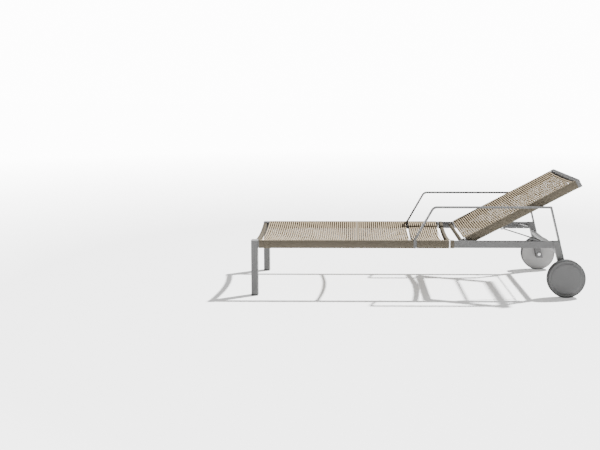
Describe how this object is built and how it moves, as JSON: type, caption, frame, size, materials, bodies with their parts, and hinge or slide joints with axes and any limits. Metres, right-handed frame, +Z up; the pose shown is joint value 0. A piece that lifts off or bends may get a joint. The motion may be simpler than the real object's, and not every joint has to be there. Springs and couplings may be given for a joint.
{
  "type": "reclining sun lounger",
  "caption": "Sun lounger with a seat and backrest of wound cord on a tubular frame, bent armrests, notched reclining backrest and two wheels.",
  "frame": {"origin": "on the floor, at the middle of the length and width", "axes": "+X towards the head end, +Y towards the right side of someone sitting in it, +Z up"},
  "size_m": [2.015, 0.78, 0.7084],
  "materials": {
    "frame": "satin",
    "cord": "matte",
    "tyre": "matte",
    "wheel_cover": "satin",
    "wheel_core": "matte",
    "nylon": "satin",
    "plastic": "satin",
    "rubber": "matte",
    "stay": "satin",
    "steel": "satin"
  },
  "bodies": {
    "frame": {"arm_saddle_left": "frame", "arm_saddle_right": "frame", "armrest_left": "frame", "armrest_right": "frame", "armrest_screws": "steel", "axle_bolt_left": "steel", "axle_bolt_right": "steel", "axle_nuts": "steel", "backrest_stops": "rubber", "front_crossbar": "frame", "front_leg_left": "frame", "front_leg_right": "frame", "glide_left": "plastic", "glide_right": "plastic", "hinge_nuts": "steel", "hinge_pin_left": "steel", "hinge_pin_right": "steel", "leg_cap_left": "plastic", "leg_cap_right": "plastic", "middle_crossbar": "frame", "rack_left": "stay", "rack_right": "stay", "rack_screws": "steel", "rear_crossbar": "frame", "rear_leg_left": "frame", "rear_leg_right": "frame", "seat_end_crossbar": "frame", "seat_front_cords": "cord", "seat_front_under_cords": "cord", "seat_rear_cords": "cord", "seat_rear_under_cords": "cord", "side_rail_left": "frame", "side_rail_right": "frame", "wheel_washers": "steel"},
    "backrest": {"back_cords": "cord", "back_lower_bar": "frame", "back_middle_bar": "frame", "back_rail_left": "frame", "back_rail_right": "frame", "back_top_bar": "frame", "back_under_cords": "cord", "hinge_bush_left": "nylon", "hinge_bush_right": "nylon", "stay_lug_left": "frame", "stay_lug_right": "frame"},
    "stay": {"stay_clips": "steel", "stay_cross_rod": "stay", "stay_rod_left": "stay", "stay_rod_right": "stay"},
    "wheel_left": {"wheel_back_left": "wheel_cover", "wheel_bush_left": "nylon", "wheel_core_left": "wheel_core", "wheel_cover_left": "wheel_cover", "wheel_tyre_left": "tyre"},
    "wheel_right": {"wheel_back_right": "wheel_cover", "wheel_bush_right": "nylon", "wheel_core_right": "wheel_core", "wheel_cover_right": "wheel_cover", "wheel_tyre_right": "tyre"}
  },
  "joints": [
    {"name": "backrest_recline", "type": "hinge", "parent": "frame", "child": "backrest", "pos_m": [0.2815, 0, 0.3165], "axis": [0, -1, 0], "range_deg": [-27.7, 24.3]},
    {"name": "stay_swing", "type": "hinge", "parent": "backrest", "child": "stay", "pos_m": [0.5175, 0, 0.4048], "axis": [0, -1, 0], "range_deg": [-41, 47]},
    {"name": "wheel_spin_left", "type": "hinge", "parent": "frame", "child": "wheel_left", "pos_m": [0.8925, -0.372, 0.115], "axis": [0, 1, 0], "continuous": true},
    {"name": "wheel_spin_right", "type": "hinge", "parent": "frame", "child": "wheel_right", "pos_m": [0.8925, 0.372, 0.115], "axis": [0, 1, 0], "continuous": true}
  ],
  "couplings": [
    {"joint": "stay_swing", "follows": "backrest_recline", "ratio": -1.64}
  ]
}
